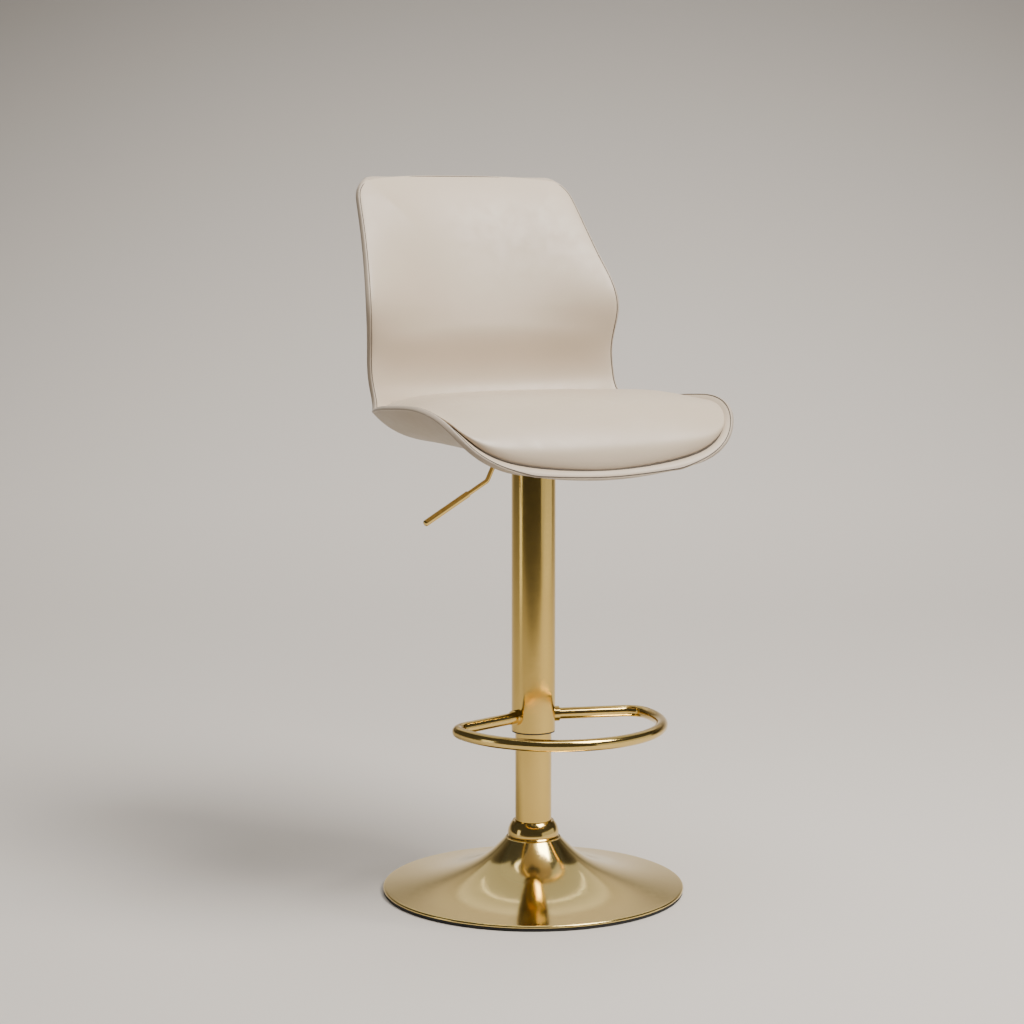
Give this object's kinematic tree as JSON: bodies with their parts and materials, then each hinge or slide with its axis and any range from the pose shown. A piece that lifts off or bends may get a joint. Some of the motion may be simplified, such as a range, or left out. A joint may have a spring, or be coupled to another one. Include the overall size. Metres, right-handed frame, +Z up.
{
  "type": "bar stool with footrest",
  "caption": "Height-adjustable swivel bar stool: scoop seat with low shaped back on a gas-lift column with a looped footrest, a side release lever and a round trumpet base.",
  "frame": {"origin": "on the floor, on the column's axis, in the plane of the rubber ring's underside", "axes": "+Z up along the column; the sitter faces -Y; the lever is at -X, the sitter's right"},
  "size_m": [0.464, 0.4602, 0.9804],
  "materials": {
    "dish_gold": "satin",
    "polished_gold": "polished",
    "base_rubber": "matte",
    "cast_ballast": "matte",
    "cover_plastic": "matte",
    "zinc_steel": "satin",
    "black_steel": "satin",
    "bush_nylon": "matte",
    "rod_chrome": "polished",
    "spring_black": "satin",
    "shell_plastic": "matte",
    "cream_leather": "satin",
    "edge_leather": "satin",
    "cushion_leather": "satin",
    "insert_brass": "satin"
  },
  "bodies": {
    "base": {"base_dish": "dish_gold", "base_rubber_ring": "base_rubber", "ballast_disc": "cast_ballast", "bottom_cover": "cover_plastic", "base_collar": "polished_gold", "column_tube": "polished_gold", "column_plug": "zinc_steel", "base_washer": "zinc_steel", "base_nut": "zinc_steel", "column_bush": "bush_nylon", "bearing_lower_race": "zinc_steel", "bearing_balls": "rod_chrome"},
    "rod": {"bearing_upper_race": "zinc_steel", "rod_clip": "zinc_steel", "piston_rod": "rod_chrome", "piston": "bush_nylon"},
    "seat": {"pressure_tube": "spring_black", "rod_gland": "bush_nylon", "sleeve_tube": "polished_gold", "sleeve_cap": "bush_nylon", "sleeve_bush": "bush_nylon", "footrest_loop": "polished_gold", "footrest_welds": "polished_gold", "seat_plate": "black_steel", "cone_socket": "black_steel", "plate_bolts": "zinc_steel", "bolt_washers": "zinc_steel", "plate_spacers": "cover_plastic", "lever_bracket": "black_steel", "lever_pivot_pin": "zinc_steel", "seat_shell": "shell_plastic", "shell_inserts": "insert_brass", "outer_cover": "cream_leather", "inner_cover": "cream_leather", "edge_piping": "edge_leather", "seat_cushion": "cushion_leather"},
    "lever": {"lever_rod": "polished_gold", "lever_grip": "polished_gold"},
    "button": {"release_button": "zinc_steel"}
  },
  "joints": [
    {"name": "swivel", "type": "hinge", "parent": "base", "child": "rod", "pos_m": [0, 0, 0.064], "axis": [0, 0, 1], "continuous": true},
    {"name": "height", "type": "slide", "parent": "rod", "child": "seat", "axis": [0, 0, 1], "range_m": [-0.06, 0.15]},
    {"name": "lever_lift", "type": "hinge", "parent": "seat", "child": "lever", "pos_m": [-0.035, 0, 0.596], "axis": [0, 1, 0], "range_deg": [0, 6], "stiffness_Nm_per_rad": 12},
    {"name": "release_press", "type": "slide", "parent": "seat", "child": "button", "axis": [0, 0, 1], "range_m": [-0.0047, 0]}
  ],
  "couplings": [
    {"joint": "release_press", "follows": "lever_lift", "m_per_rad": -0.0435}
  ]
}
